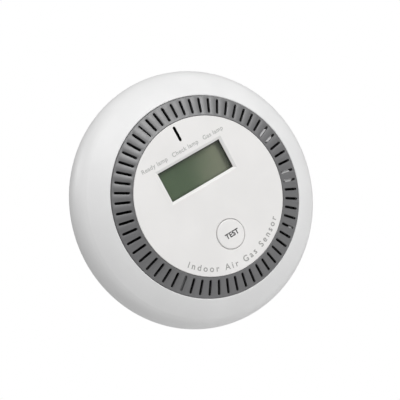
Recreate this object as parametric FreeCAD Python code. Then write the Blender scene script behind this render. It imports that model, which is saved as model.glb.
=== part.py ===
import FreeCAD, Part
import math
import os

from FreeCAD import Vector

# Round battery carbon monoxide alarm on a twist-lock wall bracket. Millimetres.
# Everything is drawn lying on its back: X to the right, Y to the top of the alarm, Z the height
# above the wall. upright() then stands it against a wall: front towards -Y, top towards +Z, with
# the origin at the middle of the bracket's back face.

# Driving dimensions
BODY_R = 60.0            # largest radius of the case
FACE_H = 36.0            # front of the face plate above the wall
EQUATOR_H = 18.0         # height of the largest radius
WALL = 2.2               # moulded wall of the two case halves
RIM_R = 12.5             # rounding of the case in front of its largest radius
RIM_TURN = 52.0          # degrees of that rounding before the flatter shoulder starts
BACK_R = 11.0            # rounding behind the largest radius
SEAM_H = 15.0            # middle of the groove between the case halves
SEAM_GAP = 0.5
LIP_TOP = SEAM_H + 3.6   # top of the rear housing's lip inside the front cover
FLOOR_H = FACE_H - EQUATOR_H - BACK_R   # outside of the rear wall above the bracket's back face

# Vent ring
VENT_R_OUT = 46.0        # radius where the ring meets the case
VENT_R_IN = 36.5         # radius where the ring meets the face plate
VENT_DROP = 2.2          # fall of the ring from its inner to its outer edge
VENT_T = 1.2
VENT_COUNT = 60
SLOT_R_IN, SLOT_R_OUT, SLOT_W = 37.8, 44.8, 1.15
HUB_T, HUB_FOOT = 0.95, 29.0  # wall that hangs from the ring's inner edge, and its lower end
LEDGE_R, LEDGE_T = 35.2, 1.4  # ledge inside that wall, which the face plate rests on
VENT_EDGE = 0.25              # bevel of the ring's edges
VENT_RIBS = [(109.3, 0.3), (222.0, VENT_T)]   # (degrees, depth of their top below the ring's front)
SCREEN_H, SCREEN_T = 30.6, 0.3                # insect screen behind the slots
FIT = 0.15               # gap between parts that snap together

# Face plate
PLATE_T = 1.95
WINDOW_W, WINDOW_L, WINDOW_Y = 14.2, 34.2, 13.05
WINDOW_BEVEL = 1.2       # width of the sloping edge round the window
LED_SLOT_W, LED_SLOT_Y0, LED_SLOT_Y1 = 1.35, 27.8, 35.1
BUTTON_Y, BUTTON_HOLE_R, BUTTON_R = -19.75, 7.0, 6.8
BUTTON_PROUD = 0.5       # the switch below it travels as far

# Electronics
BOARD_R, BOARD_T, BOARD_H = 34.3, 1.6, 27.0     # BOARD_H is the side that faces the front
BOARD_BOSSES = [(-28.0, -8.0), (28.0, -8.0), (0.0, -31.6)]
SENSOR_AT, SENSOR_R = (-21.0, 20.0), 10.0
HORN_AT, HORN_R = (20.5, 20.0), 13.0
LAMP_YS = (29.2, 31.3, 33.4)
LEAD_R, LEAD_H = 0.55, 24.6

# Batteries
CELL_R, CELL_L, CELL_NUB = 7.25, 49.2, 1.3
CELL_YS = (-3.7, -20.4)
CELL_H = 14.9
BAY_X, BAY_Y0, BAY_Y1, BAY_TOP, BAY_WALL = 28.7, -28.7, 4.6, 22.5, 1.3
CONTACT_T = 0.4
SPRING_L, SPRING_R, SPRING_TURNS, SPRING_TAPER = 5.9, 4.6, 3.0, 14.0
SPRING_WIRE_R = 0.35
CELL_START = CONTACT_T + SPRING_L    # negative end of a cell, from the bay's end wall

# Bracket
BRACKET_R, BRACKET_T, BRACKET_H = 46.0, 2.2, 6.7
HOOKS = [97.5, 0.0, 195.0]    # degrees, in the locked position
HOOK_R, HOOK_T, HOOK_HALF = 35.5, 1.6, 3.6
HOOK_LIP = 3.2
TWIST = 15.0                  # degrees from locked to released
SCREW_SPACING, SCREW_HOLE_R, SCREW_SLOT_L = 60.0, 2.2, 9.0   # for the two wall screws

# Posts of the front cover behind the vent ring: (degrees, radius)
SCREW_POSTS = [(15.0, 43.2), (-15.0, 43.2), (165.0, 43.2), (195.0, 43.2)]
LOCATING_POSTS = [(-51.0, 46.8), (-129.0, 46.8)]
POST_R, POST_TOP = 3.1, 28.0
VENT_RESTS = [(15.0, 41.2, 3.1), (-15.0, 41.2, 3.1), (-49.7, 43.8, 2.0)]   # (degrees, radius, size)
BOSS_R, BOSS_H = 3.9, 1.2     # pad inside the rear wall that thickens it round a screw
SCREW_RECESS = 0.9            # the heads lie this deep in the rear wall
HEAD_R, HEAD_T = 2.8, 1.3


# ---------------------------------------------------------------- helpers
def polar(r, degrees, h=0.0):
    a = math.radians(degrees)
    return Vector(r * math.cos(a), r * math.sin(a), h)


def flat(point):
    """A point's X and Y."""
    return (point.x, point.y)


def rod(r, h0, h1, at=(0.0, 0.0)):
    """A round bar along Z."""
    return Part.makeCylinder(r, h1 - h0, Vector(at[0], at[1], h0))


def tube(r_out, r_in, h0, h1, at=(0.0, 0.0)):
    return rod(r_out, h0, h1, at).cut(rod(r_in, h0 - 1, h1 + 1, at))


def block(x0, x1, y0, y1, h0, h1, corner=0.0):
    """A box between two corners, with its upright edges rounded."""
    box = Part.makeBox(x1 - x0, y1 - y0, h1 - h0, Vector(x0, y0, h0))
    if corner:
        upright_edges = [e for e in box.Edges if abs(e.Vertexes[0].Z - e.Vertexes[1].Z) > 1e-6]
        box = box.makeFillet(corner, upright_edges)
    return box


def plate(length, width, h0, h1, at, corner=0.0):
    """A box centred on a place."""
    x, y = at
    return block(x - length / 2, x + length / 2, y - width / 2, y + width / 2, h0, h1, corner)


def stadium(x0, x1, width, h0, h1):
    """A slot's shape along X with round ends, from end to end."""
    r = width / 2
    bar = block(x0 + r, x1 - r, -r, r, h0, h1)
    return bar.fuse([rod(r, h0, h1, (x0 + r, 0)), rod(r, h0, h1, (x1 - r, 0))]).removeSplitter()


def turned(outline):
    """A solid of revolution. The outline is (r, h) points; a pair of points is an arc's middle and end."""
    def at(p):
        return Vector(p[0], 0, p[1])
    edges, here = [], outline[0]
    for step in outline[1:] + [outline[0]]:
        if isinstance(step[0], tuple):
            middle, end = step
            edges.append(Part.Arc(at(here), at(middle), at(end)).toShape())
        else:
            end = step
            edges.append(Part.LineSegment(at(here), at(end)).toShape())
        here = end
    face = Part.Face(Part.Wire(edges))
    return face.revolve(Vector(0, 0, 0), Vector(0, 0, 1), 360)


def sector(r_in, r_out, degrees, half, h0, h1):
    """A piece of a ring, centred on an angle."""
    def wire(r, a):
        return polar(r, degrees + a, h0)
    outer = Part.Arc(wire(r_out, -half), wire(r_out, 0), wire(r_out, half)).toShape()
    inner = Part.Arc(wire(r_in, half), wire(r_in, 0), wire(r_in, -half)).toShape()
    side_a = Part.LineSegment(wire(r_out, half), wire(r_in, half)).toShape()
    side_b = Part.LineSegment(wire(r_in, -half), wire(r_out, -half)).toShape()
    face = Part.Face(Part.Wire([outer, side_a, inner, side_b]))
    return face.extrude(Vector(0, 0, h1 - h0))


def spun(shape, degrees):
    """A copy turned about the alarm's axis."""
    copy = shape.copy()
    copy.rotate(Vector(0, 0, 0), Vector(0, 0, 1), degrees)
    return copy


def moved(shape, x, y, h=0.0):
    copy = shape.copy()
    copy.translate(Vector(x, y, h))
    return copy


def wire_along(points, r, longest_reach):
    """A round wire on straight runs joined by tangent arcs, which start within a reach of each corner."""
    points = [Vector(*p) for p in points]
    edges, here = [], points[0]
    for before, corner, after in zip(points, points[1:], points[2:]):
        run_in, run_out = (corner - before), (after - corner)
        turn = run_in.getAngle(run_out)
        reach = min(longest_reach, 0.45 * min(run_in.Length, run_out.Length))
        start = corner - run_in.normalize() * reach
        end = corner + run_out.normalize() * reach
        radius = reach / math.tan(turn / 2)
        inward = (run_out - run_in).normalize()
        middle = corner + inward * (radius / math.cos(turn / 2) - radius)
        edges.append(Part.LineSegment(here, start).toShape())
        edges.append(Part.Arc(start, middle, end).toShape())
        here = end
    edges.append(Part.LineSegment(here, points[-1]).toShape())
    path = Part.Wire(edges)
    ring = Part.Wire(Part.makeCircle(r, points[0], points[1] - points[0]))
    return path.makePipeShell([ring], True, True)


def upright(shape):
    copy = shape.copy()
    copy.rotate(Vector(0, 0, 0), Vector(1, 0, 0), 90)
    return copy


def save(name, shape):
    shape = upright(shape)
    if not shape.isValid() or shape.Volume <= 0:
        raise ValueError("%s isn't a valid solid" % name)
    print("%-22s %2d solid(s) %10.1f mm3" % (name, len(shape.Solids), shape.Volume))
    shape.exportStep("parts/%s.step" % name)


# ---------------------------------------------------------------- case
class CaseProfile:
    """The outline of the case: a flattish shoulder, a rounded rim and a rounded back."""

    def __init__(self, inset=0.0):
        self.inset = inset
        turn = math.radians(RIM_TURN)
        n = (math.cos(turn), math.sin(turn))
        self.rim_centre = (BODY_R - RIM_R, EQUATOR_H)
        join = (self.rim_centre[0] + RIM_R * n[0], self.rim_centre[1] + RIM_R * n[1])
        edge = (VENT_R_OUT, FACE_H - VENT_DROP)
        chord = (edge[0] - join[0], edge[1] - join[1])
        self.shoulder_r = -(chord[0] ** 2 + chord[1] ** 2) / 2 / (chord[0] * n[0] + chord[1] * n[1])
        self.shoulder_centre = (join[0] - self.shoulder_r * n[0], join[1] - self.shoulder_r * n[1])
        self.back_centre = (BODY_R - BACK_R, EQUATOR_H)

    def rim(self, degrees):
        a, r = math.radians(degrees), RIM_R - self.inset
        return (self.rim_centre[0] + r * math.cos(a), self.rim_centre[1] + r * math.sin(a))

    def shoulder(self, r):
        """The shoulder's point at a radius."""
        R = self.shoulder_r - self.inset
        return (r, self.shoulder_centre[1] + math.sqrt(R ** 2 - (r - self.shoulder_centre[0]) ** 2))

    def back(self, degrees):
        """The rounded back, counted in degrees behind the largest radius."""
        a, r = math.radians(degrees), BACK_R - self.inset
        return (self.back_centre[0] + r * math.cos(a), self.back_centre[1] - r * math.sin(a))

    def back_at(self, h):
        return math.degrees(math.asin((EQUATOR_H - h) / (BACK_R - self.inset)))


def vent_skin(r, depth=0.0):
    """The vent ring's front at a radius, or a depth below it."""
    slope = (VENT_DROP - 0.03) / (VENT_R_OUT - VENT_R_IN)
    return (r, FACE_H - VENT_DROP + (VENT_R_OUT - r) * slope - depth)


def in_front_of_ring(depth):
    """All that lies in front of a surface parallel to the vent ring's front, a depth below it."""
    r = VENT_R_IN - 1
    return turned([vent_skin(r, depth), vent_skin(BODY_R, depth), (BODY_R, 2 * FACE_H), (r, 2 * FACE_H)])


def vent_rest(degrees, r, size):
    """A pillar on a post that carries the vent ring."""
    pillar = rod(size, POST_TOP - 6, FACE_H, (r, 0))
    return spun(pillar.cut(in_front_of_ring(VENT_T + FIT / 2)), degrees)


def cover_post(degrees, r, foot_h):
    """A post of the front cover, tied to its rim by a radial rib."""
    post = rod(POST_R, foot_h, POST_TOP, (r, 0))
    rib = block(r, BODY_R - WALL, -1.0, 1.0, EQUATOR_H, POST_TOP - 2)
    return spun(post.fuse(rib), degrees)


def lip_radii(h):
    """Outer and inner radius of the rear housing's lip, which locates inside the front cover."""
    inner = CaseProfile(WALL)
    outside = inner.back(inner.back_at(h))[0] - 0.3
    return outside, outside - 1.2


def front_cover():
    outer, inner = CaseProfile(), CaseProfile(WALL)
    lip_r = VENT_R_OUT + FIT
    seat_h = FACE_H - VENT_DROP - VENT_T - 0.05
    ledge_h = seat_h - 1.5
    low = SEAM_H + SEAM_GAP / 2
    a_out, a_in = outer.back_at(low), inner.back_at(low)
    ledge_r = inner.shoulder_centre[0] + math.sqrt(
        (inner.shoulder_r - WALL) ** 2 - (ledge_h - inner.shoulder_centre[1]) ** 2)
    shell = turned([
        (lip_r, seat_h),
        (lip_r, outer.shoulder(lip_r)[1] - 0.35),
        (lip_r + 0.35, outer.shoulder(lip_r + 0.35)[1]),
        (outer.shoulder(50.5), outer.rim(RIM_TURN)),
        (outer.rim(RIM_TURN / 2), outer.rim(0)),
        (outer.back(a_out / 2), outer.back(a_out)),
        inner.back(a_in),
        (inner.back(a_in / 2), inner.rim(0)),
        (inner.rim(RIM_TURN / 2), inner.rim(RIM_TURN)),
        (inner.shoulder((inner.rim(RIM_TURN)[0] + ledge_r) / 2), (ledge_r, ledge_h)),
        (VENT_R_OUT - 1.05, ledge_h),
        (VENT_R_OUT - 1.05, seat_h),
    ])
    floor_top = FLOOR_H + WALL
    posts = [cover_post(a, r, floor_top + BOSS_H + FIT) for a, r in SCREW_POSTS]
    posts += [cover_post(a, r, floor_top + FIT) for a, r in LOCATING_POSTS]
    rests = [vent_rest(*rest) for rest in VENT_RESTS]
    skin = turned([(0, 0), (0, inner.shoulder(ledge_r)[1]), inner.shoulder(ledge_r + 0.8),
                   (inner.shoulder(50.5), inner.rim(RIM_TURN)),
                   (inner.rim(RIM_TURN / 2), (inner.rim(0)[0] + 0.3, EQUATOR_H)),
                   (inner.rim(0)[0] + 0.3, 0)])
    posts = [p.common(skin) for p in posts]
    rebate = tube(BODY_R, lip_radii(low)[1] - 0.3, 0, LIP_TOP + 0.5)
    posts = [p.cut(rebate) for p in posts]
    bores = [rod(1.25, 0, POST_TOP - 6, flat(polar(r, a))) for a, r in SCREW_POSTS]
    return shell.fuse(posts + rests).cut(bores).removeSplitter()


def rear_housing():
    outer, inner = CaseProfile(), CaseProfile(WALL)
    high = SEAM_H - SEAM_GAP / 2
    a_out, a_in = outer.back_at(high), inner.back_at(high)
    lip_out, lip_in = lip_radii(high)
    floor_top = FLOOR_H + WALL
    shell = turned([
        (0, FLOOR_H), (outer.back(90)[0], FLOOR_H),
        (outer.back((90 + a_out) / 2), outer.back(a_out)),
        (lip_out, high), (lip_out, LIP_TOP), (lip_in, LIP_TOP),
        (lip_in, high - 1.5),
        (inner.back((90 + a_in + 20) / 2), inner.back(90)),
        (0, floor_top),
    ])
    bay = block(-BAY_X - BAY_WALL, BAY_X + BAY_WALL, BAY_Y0 - BAY_WALL, BAY_Y1 + BAY_WALL,
                FLOOR_H, BAY_TOP + BAY_WALL, 1.5)
    hollow = block(-BAY_X, BAY_X, BAY_Y0, BAY_Y1, FLOOR_H - 1, BAY_TOP, 0.8)
    middle = sum(CELL_YS) / 2
    divider = block(-18, 18, middle - 0.6, middle + 0.6, FLOOR_H + 2, BAY_TOP + 0.1)
    rails = [block(x - 0.6, x + 0.6, 10, 40, floor_top - 0.1, floor_top + 2.5) for x in (-12, 12)]
    bosses = [rod(BOSS_R, FLOOR_H + 0.1, floor_top + BOSS_H, flat(polar(r, a))) for a, r in SCREW_POSTS]
    body = shell.fuse(rails + bosses + [bay]).cut(hollow).fuse(divider)
    cutters = []
    for a in HOOKS:
        mid, half = a - TWIST / 2, TWIST / 2 + HOOK_HALF + 0.8
        cutters.append(sector(HOOK_R - 0.3, HOOK_R + HOOK_T + 0.3, mid, half, 0, floor_top + 1))
        cutters.append(sector(HOOK_R - 0.3, HOOK_R + HOOK_LIP + 0.3, a - TWIST, HOOK_HALF + 0.8,
                              0, floor_top + 1))
    for a, r in SCREW_POSTS:
        at = flat(polar(r, a))
        cutters.append(rod(1.5, 0, floor_top + BOSS_H + 1, at))
        cutters.append(rod(HEAD_R + 0.3, 0, FLOOR_H + SCREW_RECESS + HEAD_T, at))
    for y in CELL_YS:
        tab_at = (BAY_X - CONTACT_T / 2, y)
        cutters.append(plate(0.8, 3.4, BAY_TOP - 1, BAY_TOP + BAY_WALL + 1, tab_at))
    cutters.append(plate(41, 21, 0, FLOOR_H + 0.15, (0, 19), 1.0))
    return body.cut(cutters).removeSplitter()


def vent_ring():
    hub_in = VENT_R_IN + 0.1
    hub_out, ledge_h = hub_in + HUB_T, FACE_H - PLATE_T - 0.03
    ring = turned([
        vent_skin(VENT_R_OUT, VENT_EDGE), vent_skin(VENT_R_OUT - VENT_EDGE),
        vent_skin(hub_in + 0.2), vent_skin(hub_in, 0.2),
        (hub_in, ledge_h), (LEDGE_R, ledge_h), (LEDGE_R, ledge_h - LEDGE_T), (hub_in, ledge_h - LEDGE_T),
        (hub_in, HUB_FOOT), (hub_out, HUB_FOOT), vent_skin(hub_out, VENT_T),
        vent_skin(VENT_R_OUT - 0.95, VENT_T), (VENT_R_OUT, FACE_H - VENT_DROP - VENT_T),
    ])
    one = stadium(SLOT_R_IN, SLOT_R_OUT, SLOT_W, SCREEN_H, FACE_H + 1)
    slotted = ring.cut([spun(one, k * 360.0 / VENT_COUNT) for k in range(VENT_COUNT)])
    return slotted.fuse([vent_rib(a, depth) for a, depth in VENT_RIBS]).removeSplitter()


def vent_rib(degrees, depth):
    """A radial rib that stiffens the ring from behind and shows in a slot."""
    bar = block(VENT_R_IN + 0.5, SLOT_R_OUT - 0.1, -0.8, 0.8, SCREEN_H + 2 * SCREEN_T, FACE_H)
    return spun(bar.cut(in_front_of_ring(depth)), degrees)


def dust_screen():
    """Black insect screen behind the slots, with holes for the vent ring's rests."""
    r_in = VENT_R_IN + 0.1 + HUB_T + FIT
    screen = tube(VENT_R_OUT + 0.6, r_in, SCREEN_H, SCREEN_H + SCREEN_T)
    holes = [rod(size + 0.3, 20, 40, flat(polar(r, a))) for a, r, size in VENT_RESTS]
    return screen.cut(holes)


# ---------------------------------------------------------------- face
def bevel_tool():
    """The window's opening with its sloping edge."""
    h = FACE_H - 0.75

    def loop(grow, z):
        w, v = WINDOW_L / 2 + grow, WINDOW_W / 2 + grow
        corners = [Vector(x, WINDOW_Y + y, z) for x, y in ((-w, -v), (w, -v), (w, v), (-w, v))]
        return Part.makePolygon(corners + corners[:1])
    slope = Part.makeLoft([loop(0, h), loop(WINDOW_BEVEL, FACE_H + 0.001)], True)
    hole = plate(WINDOW_L, WINDOW_W, 30, h + 0.01, (0, WINDOW_Y))
    return slope.fuse(hole)


def face_plate():
    low = FACE_H - PLATE_T
    r = VENT_R_IN - 0.05
    disc = turned([(0, low), (r, low), (r, FACE_H - 0.3),
                   ((r - 0.3 + 0.3 * math.cos(math.pi / 4), FACE_H - 0.3 + 0.3 * math.sin(math.pi / 4)),
                    (r - 0.3, FACE_H)), (0, FACE_H)])
    led_slot = spun(stadium(LED_SLOT_Y0, LED_SLOT_Y1, LED_SLOT_W, 30, FACE_H + 1), 90)
    lens_pocket = plate(38.0, 18.0, low - 1, low + 0.8, (0, WINDOW_Y), 1.0)
    button_hole = rod(BUTTON_HOLE_R, 30, FACE_H + 1, (0, BUTTON_Y))
    button_rim = Part.makeCone(BUTTON_HOLE_R, BUTTON_HOLE_R + 0.3, 0.3,
                               Vector(0, BUTTON_Y, FACE_H - 0.3))
    guide = tube(9.4, 8.4, 31.0, low + 0.1, (0, BUTTON_Y))
    bosses = [tube(2.3, 0.9, BOARD_H, low + 0.1, at) for at in BOARD_BOSSES]
    legs = []
    for a in (60, 180, 300):
        legs.append(sector(33.6, 34.8, a, 4.5, 31.0, low + 0.1))
        legs.append(sector(33.6, 35.9, a, 4.5, 31.0, 32.3))
    body = disc.cut([led_slot, lens_pocket, bevel_tool(), button_hole, button_rim])
    return body.fuse([guide] + bosses + legs).removeSplitter()


def display_window():
    low = FACE_H - PLATE_T
    return plate(37.7, 17.7, low + 0.05, low + 0.78, (0, WINDOW_Y), 0.9)


def lcd_holder():
    at = (0, WINDOW_Y)
    walls = plate(41, 22, BOARD_H, 33.95, at, 1.0).cut(plate(38.3, 19.8, BOARD_H - 1, 33.6, at))
    return walls.cut(plate(WINDOW_L + 1.0, WINDOW_W + 1.0, 30, 35, at))


def test_button():
    """A cap with a rounded top edge, a flange that keeps it in, and a post on the switch."""
    top, r = FACE_H + BUTTON_PROUD, BUTTON_R
    flange_h = FACE_H - PLATE_T - 0.15
    edge = 0.6
    cap = turned([
        (0, top), (r - edge - 2.2, top - 0.08),
        (r - edge, top - 0.22),
        ((r - edge + edge * math.sin(math.pi / 4), top - 0.22 - edge * (1 - math.cos(math.pi / 4))),
         (r, top - 0.22 - edge)),
        (r, flange_h), (8.1, flange_h), (8.1, flange_h - 1.0), (5.6, flange_h - 1.0),
        (5.6, top - 1.9), (2.0, top - 1.9), (2.0, 31.05), (0, 31.05),
    ])
    return moved(cap, 0, BUTTON_Y)


# ---------------------------------------------------------------- electronics
def sensor_pins():
    x, y = SENSOR_AT
    places = [(x + 5 * math.cos(a), y + 5 * math.sin(a)) for a in (-0.5, -1.6, -2.7)]
    return [rod(0.5, 24.4, BOARD_H + 0.9, p) for p in places]


def horn_pins():
    x, y = HORN_AT
    places = [(x + 3.5, y - 8), (x + 7, y - 4), (x + 2, y + 4.5)]
    return [rod(0.4, 25.0, BOARD_H + 0.9, p) for p in places]


def lead_routes():
    """Battery leads: from a contact's tab, between the bay and the board, up through the board."""
    plus, minus = CELL_YS
    start, over = BAY_X - CONTACT_T, LEAD_H + 3.2
    return {
        "lead_red": [(start, plus, LEAD_H), (start - 2, plus, LEAD_H), (start - 4, plus - 1.2, LEAD_H),
                     (start - 5.2, plus - 3, LEAD_H), (start - 5.2, plus - 3, over)],
        "lead_black": [(start, minus, LEAD_H), (start - 2, minus, LEAD_H),
                       (start - 4, minus + 1.6, LEAD_H), (start - 6, minus + 4, LEAD_H),
                       (start - 6, minus + 4, over)],
    }


def board():
    disc = rod(BOARD_R, BOARD_H - BOARD_T, BOARD_H)
    holes = [rod(1.15, 20, 30, at) for at in BOARD_BOSSES]
    holes += [rod(LEAD_R + 0.2, 20, 30, route[-1][:2]) for route in lead_routes().values()]
    pins = [rod(p.BoundBox.XLength / 2 + 0.05, 20, 30, (p.BoundBox.Center.x, p.BoundBox.Center.y))
            for p in sensor_pins() + horn_pins()]
    notch = [rod(2.0, 20, 30, flat(polar(BOARD_R + 0.8, a))) for a in (35, 145)]
    return disc.cut(holes + pins + notch)


def co_sensor():
    can = rod(SENSOR_R, 12.6, 24.4, SENSOR_AT)
    can = can.fuse(tube(SENSOR_R + 0.4, SENSOR_R - 0.5, 22.4, 24.4, SENSOR_AT))
    well = rod(4.2, 12.0, 13.4, SENSOR_AT)
    return can.cut(well).removeSplitter()


def co_sensor_cap():
    return tube(7.0, 1.2, 11.8, 12.6, SENSOR_AT)


def co_sensor_filter():
    return rod(4.1, 12.65, 13.35, SENSOR_AT)


def horn_case():
    low, high = 17.2, BOARD_H - BOARD_T
    cup = rod(HORN_R, low, high, HORN_AT).cut(rod(HORN_R - 1, low + 1, high + 1, HORN_AT))
    step = tube(HORN_R - 0.5, HORN_R - 2.2, low + 0.5, low + 3.0, HORN_AT)
    return cup.fuse(step).cut(rod(2.4, low - 1, low + 2, HORN_AT)).removeSplitter()


def horn_disc():
    return rod(HORN_R - 1.15, 20.2, 20.5, HORN_AT)


def horn_ceramic():
    return rod(8.0, 20.5, 20.72, HORN_AT)


def inductor():
    low, high = 19.4, BOARD_H - BOARD_T
    return turned([(0, low), (4.2, low), (4.2, low + 1), (2.6, low + 1.6), (2.6, high - 1.6),
                   (4.2, high - 1), (4.2, high), (0, high)])


def inductor_coil():
    return tube(3.9, 2.65, 21.1, 23.7)


def chip(length, width, h0, h1, at, legs, pitch):
    """A flat chip with bent legs along its two long sides, as one solid."""
    x, y = at
    body = plate(length, width, h0 + 0.15, h1, at)
    feet = []
    for k in range(legs):
        px = x + (k - (legs - 1) / 2) * pitch
        for side in (-1, 1):
            feet.append(plate(0.4, 0.5, h0 + 0.1, h0 + 0.7, (px, y + side * (width / 2 + 0.2))))
            feet.append(plate(0.4, 1.0, h0, h0 + 0.2, (px, y + side * (width / 2 + 0.7))))
    return body.fuse(feet).removeSplitter()


def small_parts():
    """Surface-mount resistors and capacitors on the front of the board."""
    rows = [(-12, -12, 0), (-12, -15, 0), (-12, -18, 0), (12, -16, 0), (12, -19, 0), (-25, 1, 1),
            (-27.5, 1, 1), (25, 1, 1), (27.5, 1, 1), (-10, 28, 1), (-7, 28, 1), (7, 28, 1),
            (10, 28, 1), (15, -25, 0), (-15, -25, 0)]
    made = []
    for x, y, turned_round in rows:
        size = (0.9, 2.0) if turned_round else (2.0, 0.9)
        made.append(plate(size[0], size[1], BOARD_H, BOARD_H + 0.6, (x, y)))
    return Part.makeCompound(made)


def switch_body():
    at = (0, BUTTON_Y)
    body = plate(6.0, 6.0, BOARD_H, 30.3, at, 0.3)
    return body.cut(rod(1.8, 28.5, 31, at))


def switch_plunger():
    return rod(1.72, 29.2, 31.0, (0, BUTTON_Y))


def light_pipe():
    """Three posts over the lamps, joined by a bar that fills the foot of the slot."""
    bar = block(-0.45, 0.45, LED_SLOT_Y0 + 0.3, LED_SLOT_Y1 - 0.5, 32.6, 33.7)
    posts = [plate(0.9, 1.5, BOARD_H + 0.95, 32.7, (0, y)) for y in LAMP_YS]
    return bar.fuse(posts).removeSplitter()


def light_shroud():
    low = FACE_H - PLATE_T
    box = block(-2.0, 2.0, 26.8, 34.95, BOARD_H + 1.2, low - 0.05)
    wells = [plate(1.3, 1.7, BOARD_H, 33, (0, y)) for y in LAMP_YS]
    return box.cut(wells + [block(-0.6, 0.6, LED_SLOT_Y0 + 0.1, LED_SLOT_Y1 - 0.4, 32.4, 35)])


def lamp(y):
    return plate(1.6, 0.85, BOARD_H, BOARD_H + 0.8, (0, y))


# ---------------------------------------------------------------- batteries
def along_cell(shape, y, flipped):
    """Lays a shape drawn along Z on a cell's axis, with its start at the negative end's wall."""
    copy = shape.copy()
    copy.rotate(Vector(0, 0, 0), Vector(0, 1, 0), 90)
    copy.translate(Vector(-BAY_X, y, CELL_H))
    if flipped:
        copy.rotate(Vector(0, y, CELL_H), Vector(0, 0, 1), 180)
    return copy


def battery_can(y, flipped):
    end = CELL_START + CELL_L
    can = turned([
        (0, CELL_START), (CELL_R - 0.9, CELL_START), (CELL_R - 0.25, CELL_START + 0.6),
        (CELL_R - 0.25, end - 0.6), (CELL_R - 0.9, end), (2.7, end), (2.7, end + CELL_NUB - 0.2),
        (2.5, end + CELL_NUB), (0, end + CELL_NUB)])
    return along_cell(can, y, flipped)


def battery_sleeve(y, flipped):
    sleeve = tube(CELL_R, CELL_R - 0.24, CELL_START + 1.0, CELL_START + CELL_L - 1.0)
    return along_cell(sleeve, y, flipped)


def battery_spring(y, flipped):
    """A conical spring of round wire, narrow at the cell and wide at the contact."""
    rise = SPRING_L - 2 * SPRING_WIRE_R - 0.04
    narrow_r = SPRING_R - rise * math.tan(math.radians(SPRING_TAPER))
    helix = Part.makeLongHelix(rise / SPRING_TURNS, rise, narrow_r, SPRING_TAPER)
    first = helix.Edges[0]
    start, ahead = first.valueAt(first.FirstParameter), first.tangentAt(first.FirstParameter)
    ring = Part.Wire(Part.makeCircle(SPRING_WIRE_R, start, ahead))
    spring = Part.Wire(helix.Edges).makePipeShell([ring], True, True)
    spring.rotate(Vector(0, 0, 0), Vector(1, 0, 0), 180)
    spring.translate(Vector(0, 0, CELL_START - SPRING_WIRE_R - 0.02))
    return along_cell(spring, y, flipped)


def contact_strip(x0, x1, y0, y1, tab_y):
    """A sheet contact against the bay's end wall, with a tab up through the bay's roof."""
    strip = block(x0, x1, y0, y1, CELL_H - 5.5, CELL_H + 5.5)
    if tab_y is not None:
        strip = strip.fuse(block(x0, x1, tab_y - 1.4, tab_y + 1.4, CELL_H, 25.2))
    return strip


def battery_contacts():
    x0, x1 = BAY_X - CONTACT_T, BAY_X
    a, b = CELL_YS
    return {
        "contact_plus": contact_strip(x0, x1, a - 5, a + 5, a),
        "contact_minus": contact_strip(x0, x1, b - 5, b + 5, b),
        "contact_link": contact_strip(-x1, -x0, b - 5, a + 5, None),
    }


# ---------------------------------------------------------------- bracket and fasteners
def wall_bracket():
    dish = turned([
        (0, 0), (BRACKET_R - 0.6, 0), (BRACKET_R, 0.6), (BRACKET_R, BRACKET_H),
        (BRACKET_R - 1.8, BRACKET_H), (BRACKET_R - 1.8, BRACKET_T), (0, BRACKET_T)])
    hooks = []
    for a in HOOKS:
        under, top = FLOOR_H + WALL + 0.25, FLOOR_H + WALL + 1.8
        hooks.append(sector(HOOK_R, HOOK_R + HOOK_T, a, HOOK_HALF, BRACKET_T - 0.1, top))
        hooks.append(sector(HOOK_R, HOOK_R + HOOK_LIP, a, HOOK_HALF, under, top))
        hooks.append(sector(HOOK_R - 2.0, HOOK_R + 0.1, a, 0.9, BRACKET_T - 0.1, FLOOR_H - 1))
    ribs = [tube(24.6, 23.4, BRACKET_T - 0.1, BRACKET_T + 1.6)]
    ribs += [spun(block(24.0, BRACKET_R - 1, -0.6, 0.6, BRACKET_T - 0.1, BRACKET_T + 1.6), a)
             for a in (30, 60, 120, 150, 210, 240, 300, 330)]
    pads = [moved(stadium(-7.5, 7.5, 10, 0, BRACKET_T + 1.0), s * SCREW_SPACING / 2, 0)
            for s in (-1, 1)]
    windows = [sector(28.0, 33.0, a, 11.0, -1, 9) for a in (45, 135, 225, 315)]
    windows += [sector(HOOK_R + HOOK_T + 0.1, HOOK_R + HOOK_LIP + 0.3, a, HOOK_HALF + 0.3, -1,
                       BRACKET_T + 0.5) for a in HOOKS]
    slots = [moved(stadium(-SCREW_SLOT_L / 2, SCREW_SLOT_L / 2, 2 * SCREW_HOLE_R, -1, 9),
                   s * SCREW_SPACING / 2, 0) for s in (-1, 1)]
    plate_with_ribs = dish.fuse(ribs + pads)
    return plate_with_ribs.cut(windows + slots).fuse(hooks).removeSplitter()


def screw(at, head_h, point_h, head_r, shank_r):
    """A pan-head screw driven upwards, with a cross recess in its head."""
    under = head_h + HEAD_T
    head = turned([(0, head_h), (head_r - 0.5, head_h), (head_r, head_h + 0.5),
                   (head_r, under), (0, under)])
    shank = turned([(0, under - 0.1), (shank_r, under - 0.1),
                    (shank_r, point_h - 1.2), (0.25, point_h), (0, point_h)])
    cross = [plate(2.2 * head_r * 0.55, 0.5, head_h - 1, head_h + 0.7, (0, 0)),
             plate(0.5, 2.2 * head_r * 0.55, head_h - 1, head_h + 0.7, (0, 0))]
    return moved(head.fuse(shank).cut(cross).removeSplitter(), at[0], at[1])


def case_screws():
    return Part.makeCompound([screw(flat(polar(r, a)), FLOOR_H + SCREW_RECESS, 20.0, HEAD_R, 1.2)
                              for a, r in SCREW_POSTS])


def board_screws():
    under = BOARD_H - BOARD_T
    return Part.makeCompound([screw(at, under - HEAD_T, 32.0, 1.9, 0.85) for at in BOARD_BOSSES])


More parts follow.
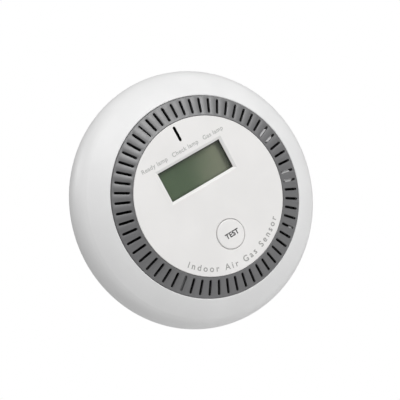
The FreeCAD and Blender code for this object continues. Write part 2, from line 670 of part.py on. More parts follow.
def main():
    os.makedirs("parts", exist_ok=True)
    at_lcd = (0, WINDOW_Y)
    save("wall_bracket", wall_bracket())
    save("rear_housing", rear_housing())
    save("front_cover", front_cover())
    save("vent_ring", vent_ring())
    save("dust_screen", dust_screen())
    save("face_plate", face_plate())
    save("display_window", display_window())
    save("lcd_holder", lcd_holder())
    save("lcd_front_glass", plate(38.0, 19.5, 32.45, 33.55, at_lcd))
    save("lcd_rear_glass", plate(38.0, 15.4, 31.35, 32.45, at_lcd))
    save("lcd_reflector", plate(36.0, 15.2, 31.1, 31.35, at_lcd))
    for name, side in (("zebra_strip_upper", 1), ("zebra_strip_lower", -1)):
        save(name, plate(36.0, 1.5, BOARD_H, 32.45, (0, WINDOW_Y + side * 8.8)))
    save("test_button", test_button())
    save("switch_body", switch_body())
    save("switch_plunger", switch_plunger())
    save("light_pipe", light_pipe())
    save("light_shroud", light_shroud())
    for name, y in zip(("lamp_green", "lamp_yellow", "lamp_red"), LAMP_YS):
        save(name, lamp(y))
    save("circuit_board", board())
    save("co_sensor", co_sensor())
    save("co_sensor_cap", co_sensor_cap())
    save("co_sensor_filter", co_sensor_filter())
    save("co_sensor_pins", Part.makeCompound(sensor_pins()))
    save("horn_case", horn_case())
    save("horn_disc", horn_disc())
    save("horn_ceramic", horn_ceramic())
    save("horn_pins", Part.makeCompound(horn_pins()))
    save("inductor_core", moved(inductor(), 0, 24))
    save("inductor_coil", moved(inductor_coil(), 0, 24))
    save("capacitor", rod(4.0, 15.4, BOARD_H - BOARD_T, (0, 13.5)))
    save("processor_chip", chip(9.0, 9.0, BOARD_H, 28.6, (-20, -14), 8, 1.0))
    save("amplifier_chip", chip(5.0, 4.0, BOARD_H, 28.5, (19, -9), 4, 1.27))
    save("small_parts", small_parts())
    for k, (y, flipped) in enumerate(zip(CELL_YS, (False, True)), 1):
        save("battery_%d_can" % k, battery_can(y, flipped))
        save("battery_%d_sleeve" % k, battery_sleeve(y, flipped))
        save("battery_%d_spring" % k, battery_spring(y, flipped))
    for name, shape in battery_contacts().items():
        save(name, shape)
    for name, route in lead_routes().items():
        save(name, wire_along(route, LEAD_R, 0.7))
    save("rating_label", plate(40.4, 20.4, FLOOR_H, FLOOR_H + 0.12, (0, 19), 0.8))
    save("case_screws", case_screws())
    save("board_screws", board_screws())


main()
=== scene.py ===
import math

import bmesh
import bpy
from mathutils import Matrix, Vector


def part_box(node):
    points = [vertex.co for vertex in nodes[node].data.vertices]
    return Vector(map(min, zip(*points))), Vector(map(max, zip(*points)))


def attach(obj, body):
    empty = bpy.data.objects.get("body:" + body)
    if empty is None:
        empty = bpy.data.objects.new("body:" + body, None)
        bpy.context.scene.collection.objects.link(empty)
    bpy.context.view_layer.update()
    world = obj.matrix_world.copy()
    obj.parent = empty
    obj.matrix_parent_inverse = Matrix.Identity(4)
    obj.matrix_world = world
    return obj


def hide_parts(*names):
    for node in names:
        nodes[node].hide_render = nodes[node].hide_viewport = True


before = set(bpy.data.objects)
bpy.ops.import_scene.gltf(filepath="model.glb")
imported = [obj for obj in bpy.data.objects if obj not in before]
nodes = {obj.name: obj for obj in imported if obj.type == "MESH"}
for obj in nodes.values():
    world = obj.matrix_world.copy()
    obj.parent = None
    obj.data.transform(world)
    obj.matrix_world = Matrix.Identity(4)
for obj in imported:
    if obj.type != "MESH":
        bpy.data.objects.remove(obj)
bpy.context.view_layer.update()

# Round carbon monoxide alarm on its wall bracket. Metres, in the CAD's frame: the wall is the plane
# y = 0, the alarm's front looks along -Y and its top is +Z.
MM = 0.001

# Places along -Y and on the face, read from the CAD nodes.
FACE_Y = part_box("face_plate")[0].y
BUTTON_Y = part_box("test_button")[0].y
BUTTON_Z = (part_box("test_button")[0].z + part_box("test_button")[1].z) / 2
WINDOW_Z = (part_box("display_window")[0].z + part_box("display_window")[1].z) / 2


# ------------------------------------------------------------------ node graphs
class Socket:
    """A node's output. Arithmetic on it adds Math nodes to its graph."""

    def __init__(self, graph, output):
        self.graph, self.output = graph, output

    def maths(self, operation, *values):
        inputs = dict(enumerate((self, *values)))
        return self.graph.node("ShaderNodeMath", {"operation": operation}, inputs)

    def __add__(self, other):
        return self.maths("ADD", other)

    def __sub__(self, other):
        return self.maths("SUBTRACT", other)

    def __rsub__(self, other):
        return self * -1.0 + other

    def __mul__(self, other):
        return self.maths("MULTIPLY", other)

    def __truediv__(self, other):
        return self.maths("DIVIDE", other)

    def __abs__(self):
        return self.maths("ABSOLUTE")

    def most(self, other):
        return self.maths("MAXIMUM", other)

    def ramp(self, low, high, at_low=0.0, at_high=1.0):
        """Goes smoothly from at_low to at_high while this value goes from low to high."""
        inputs = {"Value": self, "From Min": low, "From Max": high, "To Min": at_low, "To Max": at_high}
        return self.graph.node("ShaderNodeMapRange", {"interpolation_type": "SMOOTHSTEP"}, inputs)

    __radd__ = __add__
    __rmul__ = __mul__


class Graph:
    """A node tree while it is being built, for a material or for geometry."""

    def node(self, kind, settings=None, inputs=None, output=0):
        """Adds one node: its settings first, then the values or links of its sockets."""
        made = self.tree.nodes.new(kind)
        for name, value in (settings or {}).items():
            setattr(made, name, value)
        for name, value in (inputs or {}).items():
            if isinstance(value, Socket):
                self.tree.links.new(value.output, made.inputs[name])
            else:
                made.inputs[name].default_value = value
        return Socket(self, made.outputs[output])


class Paint(Graph):
    """A material."""

    def __init__(self, name):
        self.material = bpy.data.materials.new(name)
        self.material.use_nodes = True
        self.tree = self.material.node_tree
        self.tree.nodes.clear()

    def place(self, centre=(0, 0, 0)):
        """Object coordinates, counted from a centre."""
        here = self.node("ShaderNodeTexCoord", output="Object")
        return self.node("ShaderNodeVectorMath", {"operation": "SUBTRACT"}, {0: here, 1: centre})

    def along(self, place):
        """The X, Y and Z of a place."""
        return [self.node("ShaderNodeSeparateXYZ", None, {"Vector": place}, axis) for axis in "XYZ"]

    def noise(self, place, size, detail=2.0, roughness=0.5):
        """Noise from 0 to 1 whose blobs are about that size across."""
        inputs = {"Vector": place, "Scale": 1 / size, "Detail": detail, "Roughness": roughness}
        return self.node("ShaderNodeTexNoise", None, inputs, "Fac")

    def mix(self, share, first, second):
        """A colour between two colours."""
        inputs = {0: share, 6: opaque(first), 7: opaque(second)}
        return self.node("ShaderNodeMix", {"data_type": "RGBA"}, inputs, 2)

    def bump(self, height):
        """A normal from a height in metres."""
        return self.node("ShaderNodeBump", None, {"Height": height, "Strength": 1.0, "Distance": 1.0})

    def close(self, shader):
        end = self.tree.nodes.new("ShaderNodeOutputMaterial")
        self.tree.links.new(shader.output, end.inputs["Surface"])
        return self.material

    def finish(self, **inputs):
        """Ends the material with one principled surface."""
        named = {name.replace("_", " "): value for name, value in inputs.items()}
        return self.close(self.node("ShaderNodeBsdfPrincipled", None, named))


def opaque(shade):
    """A colour with its alpha, unless it comes from a node."""
    return shade if isinstance(shade, Socket) else (*shade, 1.0)


def scaled(shade, by):
    return [min(1.0, channel * by) for channel in shade]


# ------------------------------------------------------------------ finishes
WHITE, BLACK = (1.0, 1.0, 1.0), (0.004, 0.004, 0.004)
LINING_DROP, LINING_FADE = 0.06 * MM, 0.03 * MM      # where a lining starts behind the face, and its fade
# The display's length, and where its painted edge shade starts across and up.
DISPLAY_L, DISPLAY_EDGE_X, DISPLAY_EDGE_Z = 33 * MM, 15.9 * MM, 6.1 * MM


def moulded_plastic(name, shade, roughness, grain=1.0, index=1.5, lining=None):
    """Spark-textured moulding: a fine even grain, faint flow marks and slightly uneven gloss.
    A lining is the middle and half width and height of a slot whose walls are black."""
    p = Paint(name)
    here = p.place()
    flow = p.noise(here, 22 * MM, detail=3.0)
    handling = p.noise(here, 7 * MM, detail=5.0, roughness=0.65)
    speck = p.noise(here, 0.5 * MM, detail=2.0)
    tone = p.mix(flow.ramp(0.3, 0.7), scaled(shade, 0.975), scaled(shade, 1.015))
    tone = p.mix(handling.ramp(0.62, 0.85, 0.0, 0.10), tone, scaled(shade, 0.86))
    gloss = handling.ramp(0.35, 0.75, roughness - 0.04, roughness + 0.06)
    if lining:
        middle, half_width, half_height = lining
        x, y, z = p.along(p.place(middle))
        past_slot = (abs(x) - half_width).most(abs(z) - half_height).most(LINING_DROP - y)
        tone = p.mix(past_slot.ramp(-LINING_FADE, 0.0, 1.0, 0.0), tone, BLACK)
    height = speck * (0.012 * MM * grain) + flow * (0.10 * MM)
    return p.finish(Base_Color=tone, Roughness=gloss, IOR=index, Normal=p.bump(height))


def printed_ink(name, shade):
    """Pad-printed ink: matt, with a slightly broken cover."""
    p = Paint(name)
    cover = p.noise(p.place(), 0.25 * MM, detail=3.0)
    tone = p.mix(cover.ramp(0.55, 0.8, 0.0, 0.35), shade, scaled(shade, 1.6))
    return p.finish(Base_Color=tone, Roughness=cover.ramp(0.3, 0.7, 0.5, 0.62))


def lcd_face(name):
    """A switched-off display: green-grey and darker at its left, with painted shade along its left, top and
    bottom edges and a painted shadow, near black, at its right end.
    """
    p = Paint(name)
    x, _, z = p.along(p.place((0, 0, WINDOW_Z)))
    cloud = p.noise(p.place(), 9 * MM, detail=1.0)
    across = (x / DISPLAY_L + 0.5 + (cloud - 0.5) * 0.35).ramp(0.2, 0.9).maths("POWER", 1.7)
    tone = p.mix(across, (0.070, 0.099, 0.058), (0.165, 0.172, 0.125))
    # Painted shadow: the right end darkens towards near black, where the recess wall's shadow would fall.
    right = x.ramp(13.2 * MM, 16.2 * MM) * 0.7
    # Painted shade along the display's left, top and bottom edges, where its recess would shade it.
    past_edge = (abs(z) - DISPLAY_EDGE_Z).most((x * -1.0) - DISPLAY_EDGE_X)
    painted_edge_shade = past_edge.ramp(-0.2 * MM, 0.5 * MM) * 0.35
    tone = p.mix(right.most(painted_edge_shade), tone, (0.010, 0.012, 0.009))
    return p.finish(Base_Color=tone, Roughness=cloud.ramp(0.2, 0.8, 0.16, 0.24), IOR=1.5)


def clear_window(name, tint, roughness):
    """Clear moulded plastic that lets lamps through to what is behind it."""
    p = Paint(name)
    haze = p.noise(p.place(), 3 * MM, detail=3.0)
    glass = p.node("ShaderNodeBsdfPrincipled", None, {
        "Base Color": opaque(tint), "Transmission Weight": 1.0, "IOR": 1.49,
        "Roughness": haze.ramp(0.4, 0.8, roughness, roughness + 0.05)})
    open_way = p.node("ShaderNodeBsdfTransparent", None, {"Color": opaque(tint)})
    to_lamps = p.node("ShaderNodeLightPath", output="Is Shadow Ray")
    both = p.node("ShaderNodeMixShader", None, {0: to_lamps, 1: glass, 2: open_way})
    return p.close(both)


def metal(name, shade, roughness, streak=(1, 1, 1), streak_size=2 * MM):
    """Plated or rolled metal with fine streaks and light tarnish."""
    p = Paint(name)
    here = p.place()
    stretched = p.node("ShaderNodeVectorMath", {"operation": "MULTIPLY"}, {0: here, 1: streak})
    lines = p.noise(stretched, streak_size, detail=4.0, roughness=0.7)
    tarnish = p.noise(here, 6 * MM, detail=4.0)
    tone = p.mix(tarnish.ramp(0.45, 0.75, 0.0, 0.5), shade, scaled(shade, 0.72))
    gloss = lines.ramp(0.3, 0.7, roughness - 0.05, roughness + 0.10)
    return p.finish(Base_Color=tone, Roughness=gloss, Metallic=1.0, Normal=p.bump(lines * (0.02 * MM)))


def plain_resin(name, shade, roughness, size=1.2 * MM):
    """Moulded resin, rubber or enamel: a close mottle and uneven gloss."""
    p = Paint(name)
    mottle = p.noise(p.place(), size, detail=4.0)
    tone = p.mix(mottle.ramp(0.3, 0.75), scaled(shade, 0.8), scaled(shade, 1.2))
    gloss = mottle.ramp(0.3, 0.7, roughness - 0.06, roughness + 0.08)
    return p.finish(Base_Color=tone, Roughness=gloss, Normal=p.bump(mottle * (0.02 * MM)))


def threads(along, pitch):
    """A wave from -1 to 1, once in each pitch."""
    return (along * (2 * math.pi / pitch)).maths("SINE")


def circuit_laminate(name):
    """Green solder mask over a faint weave, with darker lines where the copper runs."""
    p = Paint(name)
    here = p.place()
    x, _, z = p.along(here)
    weave = threads(x, 0.9 * MM) * threads(z, 0.9 * MM)
    cells = p.node("ShaderNodeTexVoronoi", {"feature": "DISTANCE_TO_EDGE", "distance": "EUCLIDEAN"},
                   {"Vector": here, "Scale": 1 / (5 * MM)}, "Distance")
    tracks = cells.ramp(0.05, 0.09, 1.0, 0.0)
    tone = p.mix(weave.ramp(-1.0, 1.0, 0.3, 0.7), (0.010, 0.115, 0.040), (0.016, 0.150, 0.055))
    tone = p.mix(tracks * 0.6, tone, (0.020, 0.230, 0.080))
    return p.finish(Base_Color=tone, Roughness=weave.ramp(-1.0, 1.0, 0.28, 0.34),
                    Normal=p.bump(tracks * (0.03 * MM)))


def charcoal_cloth(name):
    """Woven charcoal cloth over the sensor's inlet."""
    p = Paint(name)
    x, _, z = p.along(p.place())
    weave = threads(x, 0.6 * MM) * threads(z, 0.6 * MM)
    tone = p.mix(weave.ramp(-1.0, 1.0), (0.010, 0.010, 0.011), (0.045, 0.045, 0.048))
    return p.finish(Base_Color=tone, Roughness=0.9, Normal=p.bump(weave * (0.05 * MM)))


def insect_mesh(name):
    """Fine black nylon mesh."""
    p = Paint(name)
    x, _, z = p.along(p.place())
    mesh = threads(x, 0.5 * MM).most(threads(z, 0.5 * MM))
    tone = p.mix(mesh.ramp(0.0, 1.0), (0.003, 0.003, 0.003), (0.022, 0.022, 0.023))
    return p.finish(Base_Color=tone, Roughness=mesh.ramp(0.0, 1.0, 0.85, 0.65),
                    Normal=p.bump(mesh * (0.03 * MM)))


def cell_sleeve(name, copper_end):
    """A cell's printed sleeve: dark for most of its length and copper-coloured at the plus end."""
    p = Paint(name)
    x, _, _ = p.along(p.place())
    from_end = (x - copper_end) * (1.0 if copper_end < 0 else -1.0)
    copper = from_end.ramp(14.5 * MM, 14.7 * MM, 1.0, 0.0)
    rings = from_end.ramp(15.6 * MM, 15.7 * MM, 1.0, 0.0) * from_end.ramp(15.2 * MM, 15.3 * MM)
    scuff = p.noise(p.place(), 1.5 * MM, detail=6.0, roughness=0.7)
    tone = p.mix(copper, (0.020, 0.022, 0.026), (0.620, 0.290, 0.115))
    tone = p.mix(rings, tone, (0.70, 0.70, 0.68))
    tone = p.mix(scuff.ramp(0.66, 0.8, 0.0, 0.5), tone, (0.40, 0.38, 0.36))
    return p.finish(Base_Color=tone, Metallic=copper * 0.7, Roughness=scuff.ramp(0.3, 0.7, 0.24, 0.38))


def lamp_body(name, shade):
    """A small tinted lamp, paler in small patches."""
    p = Paint(name)
    cloud = p.noise(p.place(), 0.4 * MM, detail=1.0)
    tone = p.mix(cloud.ramp(0.3, 0.7), shade, scaled(shade, 1.5))
    return p.finish(Base_Color=tone, Roughness=cloud.ramp(0.3, 0.7, 0.18, 0.26))


# ------------------------------------------------------------------ geometry trees
class Tree(Graph):
    """A Geometry Nodes tree while it is being built. An input is its name, socket kind and default."""

    def __init__(self, name, **inputs):
        self.tree = bpy.data.node_groups.new(name, "GeometryNodeTree")
        self.tree.interface.new_socket("Geometry", in_out="OUTPUT", socket_type="NodeSocketGeometry")
        for title, (kind, value) in inputs.items():
            socket = self.tree.interface.new_socket(title, in_out="INPUT", socket_type="NodeSocket" + kind)
            if value is not None:
                socket.default_value = value
        self.start = self.tree.nodes.new("NodeGroupInput")

    def given(self, title):
        return Socket(self, self.start.outputs[title])

    def join(self, *meshes):
        made = self.tree.nodes.new("GeometryNodeJoinGeometry")
        for mesh in meshes:
            self.tree.links.new(mesh.output, made.inputs[0])
        return Socket(self, made.outputs[0])

    def finish(self, instances, merge=0.0):
        """Ends the tree: realized, merged where pieces meet, and given its material."""
        mesh = self.node("GeometryNodeRealizeInstances", None, {0: instances})
        if merge:
            mesh = self.node("GeometryNodeMergeByDistance", None, {"Geometry": mesh, "Distance": merge})
        painted = self.node("GeometryNodeSetMaterial", None, {0: mesh, "Material": self.given("Material")})
        end = self.tree.nodes.new("NodeGroupOutput")
        self.tree.links.new(painted.output, end.inputs["Geometry"])
        return self.tree


def grown(name, tree, base=None, **values):
    """The plain mesh that a tree makes from a base mesh and named values."""
    seed = bpy.data.objects.new(name + "_seed", base or bpy.data.meshes.new(name + "_seed"))
    bpy.context.scene.collection.objects.link(seed)
    modifier = seed.modifiers.new("tree", "NODES")
    modifier.node_group = tree
    for item in tree.interface.items_tree:
        if item.item_type == "SOCKET" and item.in_out == "INPUT" and item.name in values:
            modifier[item.identifier] = values[item.name]
    evaluated = seed.evaluated_get(bpy.context.evaluated_depsgraph_get())
    mesh = bpy.data.meshes.new_from_object(evaluated)
    bpy.data.objects.remove(seed)
    return piece(name, mesh)


def piece(name, mesh):
    """A new object at the origin, with its place in its mesh."""
    mesh.name = name
    made = bpy.data.objects.new(name, mesh)
    bpy.context.scene.collection.objects.link(made)
    return made


def copies_round_axis():
    """Turns copies of the base mesh about the alarm's axis."""
    t = Tree("copies round the axis", Base=("Object", None), Copies=("Int", 60), Material=("Material", None))
    copies = t.given("Copies")
    base = t.node("GeometryNodeObjectInfo", None, {"Object": t.given("Base")}, "Geometry")
    points = t.node("GeometryNodeMeshLine", None, {"Count": copies, "Offset": (0, 0, 0)})
    turn = t.node("GeometryNodeInputIndex") * (2 * math.pi) / copies
    spin = t.node("ShaderNodeCombineXYZ", None, {"Y": turn})
    turned = t.node("FunctionNodeEulerToRotation", None, {0: spin})
    ring = t.node("GeometryNodeInstanceOnPoints", None,
                  {"Points": points, "Instance": base, "Rotation": turned})
    return t.finish(ring, merge=0.002 * MM)


NIB_SIDES, NIB_FLATNESS = 6, 0.25


def lettering():
    """Thin raised letters, in a line or, with a radius, along an arc. Weight thickens the strokes."""
    t = Tree("lettering", Text=("String", ""), Size=("Float", 2 * MM), Spacing=("Float", 1.0),
             Radius=("Float", 0.0), Middle=("Float", 0.0), Place=("Vector", (0, 0, 0)),
             Weight=("Float", 0.1 * MM), Thickness=("Float", 0.03 * MM), Material=("Material", None))
    radius = t.given("Radius")
    written = {"String": t.given("Text"), "Size": t.given("Size"), "Character Spacing": t.given("Spacing")}
    line = t.node("GeometryNodeStringToCurves", {"align_x": "CENTER", "align_y": "MIDDLE"}, written)
    at = t.node("GeometryNodeInputPosition")
    along = t.node("ShaderNodeSeparateXYZ", None, {0: at}, "X")
    angle = t.given("Middle") + along / radius.most(MM)
    upright = t.node("FunctionNodeEulerToRotation", None,
                     {0: t.node("ShaderNodeCombineXYZ", None, {"Z": angle + math.pi / 2})})
    bent = t.node("GeometryNodeRotateInstances", None, {"Instances": line, "Rotation": upright})
    round_arc = t.node("ShaderNodeCombineXYZ", None,
                       {"X": angle.maths("COSINE") * radius, "Y": angle.maths("SINE") * radius})
    bent = t.node("GeometryNodeSetPosition", None, {"Geometry": bent, "Position": round_arc})
    is_arc = t.node("FunctionNodeCompare", {"data_type": "FLOAT", "operation": "GREATER_THAN"},
                    {0: radius, 1: 0.0})
    laid = t.node("GeometryNodeSwitch", {"input_type": "GEOMETRY"},
                  {"Switch": is_arc, "False": line, "True": bent})
    outlines = t.node("GeometryNodeRealizeInstances", None, {0: laid})
    flat = t.node("GeometryNodeFillCurve", {"mode": "NGONS"}, {0: outlines})
    raised = t.node("GeometryNodeExtrudeMesh", None,
                    {"Mesh": flat, "Offset Scale": t.given("Thickness"), "Individual": False})
    under = t.node("GeometryNodeFlipFaces", None, {0: flat})
    nib = t.node("GeometryNodeCurvePrimitiveCircle", None,
                 {"Resolution": NIB_SIDES, "Radius": t.given("Weight")})
    edge = t.node("GeometryNodeCurveToMesh", None, {"Curve": outlines, "Profile Curve": nib})
    flattened = t.node("GeometryNodeTransform", None, {"Geometry": edge, "Scale": (1, 1, NIB_FLATNESS)})
    solid = t.join(raised, under, flattened)
    tipped = t.node("GeometryNodeTransform", None,
                    {"Geometry": solid, "Translation": t.given("Place"), "Rotation": (math.pi / 2, 0, 0)})
    return t.finish(tipped, merge=0.001 * MM)


# ------------------------------------------------------------------ vent ring
VENT_R_OUT, VENT_R_IN = 46.0, 36.6
VENT_TOP = 33.8          # height of the ring's outer edge above the wall
VENT_RISE = 2.17 / 9.4   # how much it rises towards the face plate, per radial distance
VENT_T = 1.2
VENT_COUNT = 60
SLOT_R_IN, SLOT_R_OUT, SLOT_W = 37.8, 44.8, 1.15
SLOT_EDGE = 0.14         # rounding of a slot's rim
ROUND_CUT = 0.3          # how far in a rounding's middle point lies, of its radius
RIM_EDGE = 0.25          # bevel of the outer edge
ROOT_EDGE = 0.2          # bevel of the inner edge
HUB_R, HUB_FOOT = 37.55, 29.0
# Slots closed from behind: the rib's turn, and how far its front is below the ring's top.
RIBS = (("vent_rib_upper", 109.3, 0.3), ("vent_rib_lower", 222.0, VENT_T))
RIB_R_IN, RIB_R_OUT, RIB_W, RIB_FOOT = 37.0, 44.7, 1.6, 31.2
LEDGE_R, LEDGE_TOP, LEDGE_FOOT = 35.2, 34.02, 32.62


def vent_top(r):
    return VENT_TOP + (VENT_R_OUT - r) * VENT_RISE


def slot_loop(grow, drop):
    """A slot's outline as (x, z, height) points, wider by grow and below the ring's top by drop."""
    half = SLOT_W / 2
    points = []
    for middle, start in ((SLOT_R_OUT - half, -90), (SLOT_R_IN + half, 90)):
        for step in range(5):
            a = math.radians(start + 45 * step)
            x = middle + (half + grow) * math.cos(a)
            points.append((x, (half + grow) * math.sin(a), vent_top(x) - drop))
    return points


def arc_points(r, height, backwards=False):
    """Five points on one slot's share of a circle."""
    half = math.pi / VENT_COUNT
    turns = [half * (step / 2 - 1) for step in range(5)]
    if backwards:
        turns.reverse()
    return [(r * math.cos(a), r * math.sin(a), height) for a in turns]


def vent_wedge():
    """One slot's share of the ring, open at its two radial sides, where its neighbours join it."""
    mesh = bmesh.new()
    known = {}

    def at(point):
        x, z, height = point
        key = (round(x, 4), round(z, 4), round(height, 4))
        if key not in known:
            known[key] = mesh.verts.new((x * MM, -height * MM, z * MM))
        return known[key]

    def bridge(first, second, closed):
        count = len(first)
        for i in range(count if closed else count - 1):
            j = (i + 1) % count
            corners = [at(first[i]), at(first[j]), at(second[j]), at(second[i])]
            if len(set(corners)) == 4:
                mesh.faces.new(corners)

    rim_r, root_r = VENT_R_OUT - RIM_EDGE, VENT_R_IN + ROOT_EDGE
    top = arc_points(rim_r, vent_top(rim_r)) + arc_points(root_r, vent_top(root_r), True)
    under_h = VENT_TOP - VENT_T
    under_hub = vent_top(HUB_R) - VENT_T
    under = arc_points(VENT_R_OUT, under_h) + arc_points(HUB_R, under_hub, True)
    slot_bend = SLOT_EDGE * ROUND_CUT
    loops = [top, slot_loop(SLOT_EDGE, 0), slot_loop(slot_bend, slot_bend),
             slot_loop(0, SLOT_EDGE), slot_loop(0, VENT_T), under]
    for first, second in zip(loops, loops[1:]):
        bridge(first, second, True)
    outside = [(rim_r, vent_top(rim_r)), (VENT_R_OUT, VENT_TOP - RIM_EDGE), (VENT_R_OUT, under_h)]
    inside = [(root_r, vent_top(root_r)), (VENT_R_IN, vent_top(VENT_R_IN) - ROOT_EDGE),
              (VENT_R_IN, LEDGE_TOP), (LEDGE_R, LEDGE_TOP), (LEDGE_R, LEDGE_FOOT),
              (VENT_R_IN, LEDGE_FOOT), (VENT_R_IN, HUB_FOOT), (HUB_R, HUB_FOOT), (HUB_R, under_hub)]
    for outline in (outside, inside):
        for first, second in zip(outline, outline[1:]):
            bridge(arc_points(*first), arc_points(*second), False)
    made = bpy.data.meshes.new("vent_wedge")
    mesh.to_mesh(made)
    mesh.free()
    return made


def vent_rib(name, turn_degrees, below_top):
    """A bar that closes one slot from behind, its front that far below the ring's top."""
    mesh = bmesh.new()
    ends = [(r, h) for r in (RIB_R_IN, RIB_R_OUT) for h in (RIB_FOOT, vent_top(r) - below_top)]
    sides = [[mesh.verts.new((r * MM, -h * MM, z * MM)) for r, h in ends] for z in (-RIB_W / 2, RIB_W / 2)]
    mesh.faces.new([sides[0][i] for i in (0, 1, 3, 2)])
    mesh.faces.new([sides[1][i] for i in (2, 3, 1, 0)])
    for i, j in ((0, 1), (1, 3), (3, 2), (2, 0)):
        mesh.faces.new((sides[0][j], sides[0][i], sides[1][i], sides[1][j]))
    bmesh.ops.transform(mesh, matrix=Matrix.Rotation(math.radians(-turn_degrees), 4, "Y"), verts=mesh.verts)
    made = bpy.data.meshes.new(name)
    mesh.to_mesh(made)
    mesh.free()
    return piece(name, made)


def faces_outwards(made, sharp_degrees=30):
    """Turns every face of a closed mesh outwards and smooths all but its sharp edges."""
    mesh = bmesh.new()
    mesh.from_mesh(made.data)
    bmesh.ops.recalc_face_normals(mesh, faces=mesh.faces)
    for face in mesh.faces:
        face.smooth = True
    for edge in mesh.edges:
        edge.smooth = edge.calc_face_angle(0.0) < math.radians(sharp_degrees)
    mesh.to_mesh(made.data)
    mesh.free()


def make_vent_ring(paint):
    wedge = piece("vent_wedge", vent_wedge())
    tree = copies_round_axis()
    ring = grown("vent_grille", tree, Base=wedge, Copies=VENT_COUNT, Material=paint)
    bpy.data.objects.remove(wedge)
    faces_outwards(ring)
    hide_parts("vent_ring")
    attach(ring, "alarm")
    for name, turn, below_top in RIBS:
        rib = vent_rib(name, turn, below_top)
        rib.data.materials.append(paint)
        faces_outwards(rib)
        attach(rib, "alarm")


# ------------------------------------------------------------------ lettering
def make_lettering(lamp_ink, rim_ink, button_ink):
    tree = lettering()
    on_face, on_button = FACE_Y, BUTTON_Y
    captions = [
        ("lamp_legend", "alarm", lamp_ink, dict(
            Text="Ready lamp   Check lamp   Gas lamp", Size=2.75 * MM, Spacing=1.09, Weight=0.07 * MM,
            Place=(-1.3 * MM, on_face, 24.0 * MM))),
        ("rim_legend", "alarm", rim_ink, dict(
            Text="Indoor Air Gas Sensor", Size=3.9 * MM, Spacing=1.52, Weight=0.09 * MM,
            Radius=34.15 * MM, Middle=math.radians(-92.6), Place=(0, on_face, 0))),
        ("button_word", "button", button_ink, dict(
            Text="TEST", Size=3.3 * MM, Spacing=1.0, Weight=0.13 * MM,
            Place=(0.4 * MM, on_button, BUTTON_Z - 0.3 * MM))),
    ]
    for name, body, ink, values in captions:
        letters = grown(name, tree, Thickness=0.03 * MM, Material=ink, **values)
        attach(letters, body)


# ------------------------------------------------------------------ finishes on the pieces
def coat(paint, *names):
    for name in names:
        slots = nodes[name].data.materials
        slots.clear()
        slots.append(paint)


def paint_everything():
    white = (0.80, 0.80, 0.80)
    case = moulded_plastic("case plastic", white, 0.42)
    slot_middle = (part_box("light_shroud")[0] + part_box("light_shroud")[1]) / 2
    face = moulded_plastic("face plastic", (0.80, 0.79, 0.78), 0.36, grain=0.6,
                           lining=((0, FACE_Y, slot_middle.z), 0.95 * MM, 4.1 * MM))
    bracket = moulded_plastic("bracket plastic", (0.78, 0.77, 0.75), 0.48, grain=1.3)
    vent = moulded_plastic("vent plastic", (0.088, 0.088, 0.091), 0.47, index=2.0)
    coat(case, "front_cover", "rear_housing")
    coat(face, "face_plate", "test_button")
    coat(bracket, "wall_bracket")
    make_vent_ring(vent)
    coat(clear_window("window plastic", (0.93, 0.95, 0.93), 0.02), "display_window")
    coat(lcd_face("display face"), "lcd_front_glass")
    coat(plain_resin("display glass", (0.10, 0.13, 0.09), 0.2), "lcd_rear_glass", "lcd_reflector")
    coat(plain_resin("black plastic", (0.018, 0.018, 0.019), 0.42), "lcd_holder", "switch_body",
         "switch_plunger", "light_shroud", "horn_case")
    coat(plain_resin("silicone", (0.25, 0.25, 0.26), 0.6), "zebra_strip_upper", "zebra_strip_lower")
    coat(clear_window("smoked acrylic", (0.10, 0.10, 0.10), 0.12), "light_pipe")
    coat(lamp_body("green lamp", (0.20, 0.50, 0.16)), "lamp_green")
    coat(lamp_body("amber lamp", (0.60, 0.34, 0.04)), "lamp_yellow")
    coat(lamp_body("red lamp", (0.50, 0.05, 0.03)), "lamp_red")
    coat(circuit_laminate("board laminate"), "circuit_board")
    coat(metal("sensor can", (0.66, 0.66, 0.64), 0.30), "co_sensor")
    plated = metal("nickel plate", (0.62, 0.60, 0.56), 0.26, streak=(1, 1, 8))
    coat(plated, "co_sensor_cap", "co_sensor_pins", "horn_pins", "battery_1_spring", "battery_2_spring",
         "contact_plus", "contact_minus", "contact_link", "battery_1_can", "battery_2_can")
    coat(charcoal_cloth("charcoal cloth"), "co_sensor_filter")
    coat(insect_mesh("insect mesh"), "dust_screen")
    coat(metal("brass sheet", (0.70, 0.50, 0.20), 0.30), "horn_disc")
    coat(plain_resin("silvered ceramic", (0.62, 0.60, 0.54), 0.35), "horn_ceramic")
    coat(plain_resin("ferrite", (0.035, 0.035, 0.038), 0.5), "inductor_core")
    coat(metal("enamelled copper", (0.72, 0.30, 0.12), 0.25, streak=(1, 12, 1), streak_size=3 * MM),
         "inductor_coil")
    coat(plain_resin("capacitor sleeve", (0.03, 0.04, 0.12), 0.3), "capacitor")
    coat(plain_resin("chip resin", (0.022, 0.022, 0.024), 0.45), "processor_chip", "amplifier_chip",
         "small_parts")
    coat(cell_sleeve("first cell's sleeve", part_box("battery_1_can")[1].x), "battery_1_sleeve")
    coat(cell_sleeve("second cell's sleeve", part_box("battery_2_can")[0].x), "battery_2_sleeve")
    coat(plain_resin("red insulation", (0.42, 0.02, 0.015), 0.4), "lead_red")
    coat(plain_resin("black insulation", (0.015, 0.015, 0.015), 0.4), "lead_black")
    coat(plain_resin("label stock", (0.70, 0.70, 0.68), 0.5, size=2 * MM), "rating_label")
    coat(metal("zinc plate", (0.55, 0.56, 0.57), 0.30), "case_screws", "board_screws")
    make_lettering(printed_ink("pale legend ink", (0.46, 0.46, 0.45)),
                   printed_ink("grey legend ink", (0.34, 0.34, 0.33)),
                   printed_ink("dark legend ink", (0.05, 0.05, 0.05)))


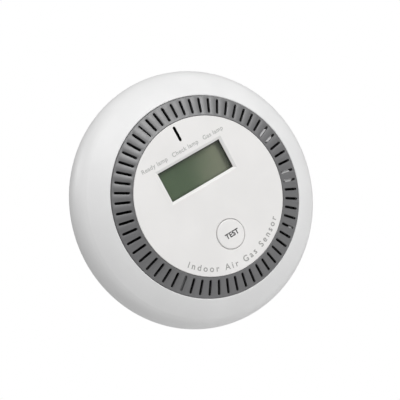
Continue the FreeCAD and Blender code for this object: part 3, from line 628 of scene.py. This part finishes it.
# ------------------------------------------------------------------ studio
FLOOR_R, FLOOR_DROP = 6.0, 0.30
AMBIENT = 0.257          # strength of the even light
LAMP_DISTANCE = 1.3
LAMPS = [                # name, azimuth, elevation, size and power
    ("key", 20, 31, 0.8, 9.2),
    ("top", -30, 60, 0.5, 3.9),
    ("rim", -120, 45, 0.5, 2.9),
    ("side", 50, 14, 0.8, 1.5),
]
CAMERA_AT, CAMERA_ROLL = (-0.1917, -0.4938, 0.0549), -28.2
CAMERA_LENS, CAMERA_SENSOR = 100.0, 36.0
CAMERA_SHIFT = (-0.02575, -0.0109)
CAMERA_NEAR, CAMERA_FAR = 0.01, 20.0


def aim(thing, at, target, roll_degrees=0.0):
    """Puts a lamp or the camera at a place, looking at a target, rolled about its view."""
    thing.location = at
    turn = (Vector(target) - Vector(at)).to_track_quat("-Z", "Y").to_matrix()
    thing.rotation_euler = (turn @ Matrix.Rotation(math.radians(roll_degrees), 3, "Z")).to_euler()


def add_to_scene(name, data):
    made = bpy.data.objects.new(name, data)
    bpy.context.scene.collection.objects.link(made)
    return made


def soft_lamp(name, azimuth, elevation, size, power):
    """A round soft box. Azimuth 0 is straight in front of the alarm, and positive to its right."""
    data = bpy.data.lights.new(name, "AREA")
    data.shape = "DISK"
    data.size = size
    data.energy = power
    lamp = add_to_scene(name, data)
    a, e = math.radians(azimuth), math.radians(elevation)
    away = Vector((math.sin(a) * math.cos(e), -math.cos(a) * math.cos(e), math.sin(e)))
    aim(lamp, away * LAMP_DISTANCE, (0, 0, 0))
    lamp.visible_camera = False


def build_floor():
    """A plain pale floor well below the alarm. The camera sees it as pure white."""
    p = Paint("pale floor")
    cloud = p.noise(p.place(), 0.5)
    pale = p.mix(cloud, (0.88, 0.88, 0.88), (0.92, 0.92, 0.92))
    matt = p.node("ShaderNodeBsdfDiffuse", None, {"Color": pale})
    lit = p.node("ShaderNodeEmission", None, {"Color": opaque(WHITE)})
    to_camera = p.node("ShaderNodeLightPath", output="Is Camera Ray")
    mesh = bmesh.new()
    bmesh.ops.create_circle(mesh, cap_ends=True, segments=64, radius=FLOOR_R,
                            matrix=Matrix.Translation((0, 0, -FLOOR_DROP)))
    data = bpy.data.meshes.new("floor")
    mesh.to_mesh(data)
    mesh.free()
    data.materials.append(p.close(p.node("ShaderNodeMixShader", None, {0: to_camera, 1: matt, 2: lit})))
    add_to_scene("floor", data)


def build_world():
    """White behind the alarm, and a dim even light on it."""
    world = bpy.data.worlds.new("studio")
    bpy.context.scene.world = world
    world.use_nodes = True
    graph = Graph()
    graph.tree = world.node_tree
    graph.tree.nodes.clear()
    to_camera = graph.node("ShaderNodeLightPath", output="Is Camera Ray")
    sky = graph.node("ShaderNodeBackground", None,
                     {"Color": opaque(WHITE), "Strength": to_camera * (1 - AMBIENT) + AMBIENT})
    end = graph.tree.nodes.new("ShaderNodeOutputWorld")
    graph.tree.links.new(sky.output, end.inputs["Surface"])


def build_camera():
    data = bpy.data.cameras.new("camera")
    data.lens, data.sensor_width = CAMERA_LENS, CAMERA_SENSOR
    data.shift_x, data.shift_y = CAMERA_SHIFT
    data.clip_start, data.clip_end = CAMERA_NEAR, CAMERA_FAR
    camera = add_to_scene("camera", data)
    aim(camera, CAMERA_AT, (0, FACE_Y, 0), CAMERA_ROLL)
    bpy.context.scene.camera = camera


paint_everything()
build_floor()
build_world()
build_camera()
bpy.context.scene.view_settings.view_transform = "Standard"
for lamp in LAMPS:
    soft_lamp(*lamp)
